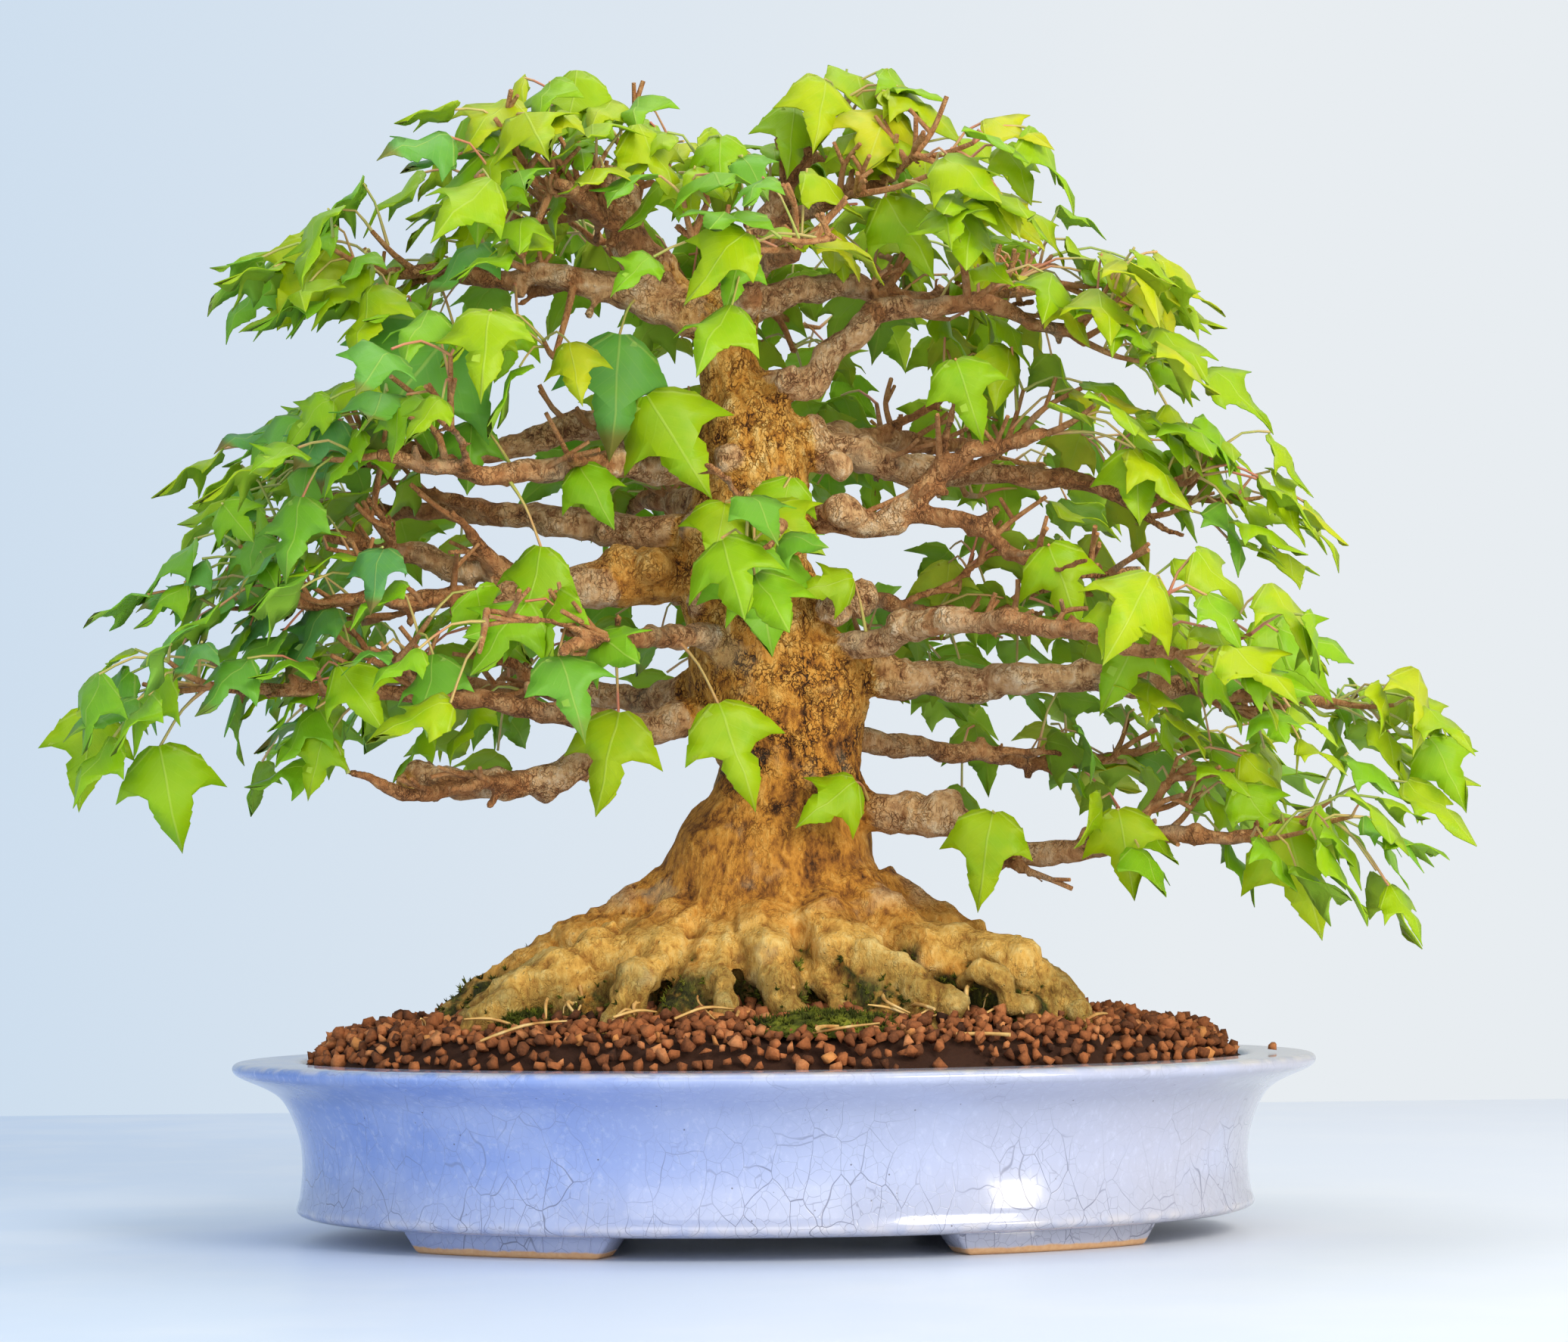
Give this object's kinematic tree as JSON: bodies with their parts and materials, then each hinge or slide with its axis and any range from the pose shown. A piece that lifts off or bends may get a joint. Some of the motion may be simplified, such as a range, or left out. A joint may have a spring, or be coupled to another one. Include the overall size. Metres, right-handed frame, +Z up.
{
  "type": "bonsai tree in a pot",
  "caption": "Living trident maple bonsai with a flared root base and domed leafy crown, growing in a shallow oval glazed pot on low feet.",
  "frame": {"origin": "middle of the tree's outline in plan, on the surface the pot's feet stand on; the pot's own middle is about 2 mm to its left and 4 mm in front of it", "axes": "+Z up, +X to the tree's right as seen from its front, -Y to the front"},
  "size_m": [0.4692, 0.3136, 0.3872],
  "materials": {
    "glaze": "glossy crackle glaze",
    "bark": "flaky bark, pale and lumpy on the roots",
    "leaf": "satin leaf",
    "akadama": "matte baked clay grains",
    "moss": "matte moss",
    "dry_stalk": "matte dry stalk",
    "screen_plastic": "matte",
    "wire": "dull wire"
  },
  "bodies": {
    "root": {"drain_screen_left": "screen_plastic", "drain_screen_right": "screen_plastic", "dropped_stalk_front": "dry_stalk", "dropped_stalk_right": "dry_stalk", "foot_back_left": "glaze", "foot_back_right": "glaze", "foot_front_left": "glaze", "foot_front_right": "glaze", "moss_front": "moss", "moss_left": "moss", "moss_right": "moss", "pot": "glaze", "screen_clip_left": "wire", "screen_clip_right": "wire", "shoot_back_low_1": "leaf", "shoot_back_low_2": "leaf", "shoot_back_middle_1": "leaf", "shoot_back_middle_2": "leaf", "shoot_back_right_1": "leaf", "shoot_back_top_1": "leaf", "shoot_cut_leader_back_1": "leaf", "shoot_cut_leader_front_1": "leaf", "shoot_front_left_1": "leaf", "shoot_front_small_1": "leaf", "shoot_front_top_1": "leaf", "shoot_leader_1": "leaf", "shoot_leader_right_1": "leaf", "shoot_left_low_back_1": "leaf", "shoot_left_low_outer_1": "leaf", "shoot_left_low_outer_2": "leaf", "shoot_left_low_outer_3": "leaf", "shoot_left_main_1": "leaf", "shoot_left_main_2": "leaf", "shoot_left_main_lower_1": "leaf", "shoot_left_middle_1": "leaf", "shoot_left_middle_2": "leaf", "shoot_left_top_1": "leaf", "shoot_left_top_2": "leaf", "shoot_left_upper_1": "leaf", "shoot_left_upper_front_1": "leaf", "shoot_right_forked_1": "leaf", "shoot_right_front_1": "leaf", "shoot_right_front_2": "leaf", "shoot_right_hanging_1": "leaf", "shoot_right_high_1": "leaf", "shoot_right_high_2": "leaf", "shoot_right_low_1": "leaf", "shoot_right_low_2": "leaf", "shoot_right_low_back_1": "leaf", "shoot_right_main_1": "leaf", "shoot_right_main_2": "leaf", "shoot_right_thin_1": "leaf", "shoot_right_top_1": "leaf", "shoot_right_top_2": "leaf", "shoot_right_upper_1": "leaf", "shoot_right_upper_2": "leaf", "soil": "akadama", "trunk_and_limbs": "bark"}
  },
  "joints": []
}
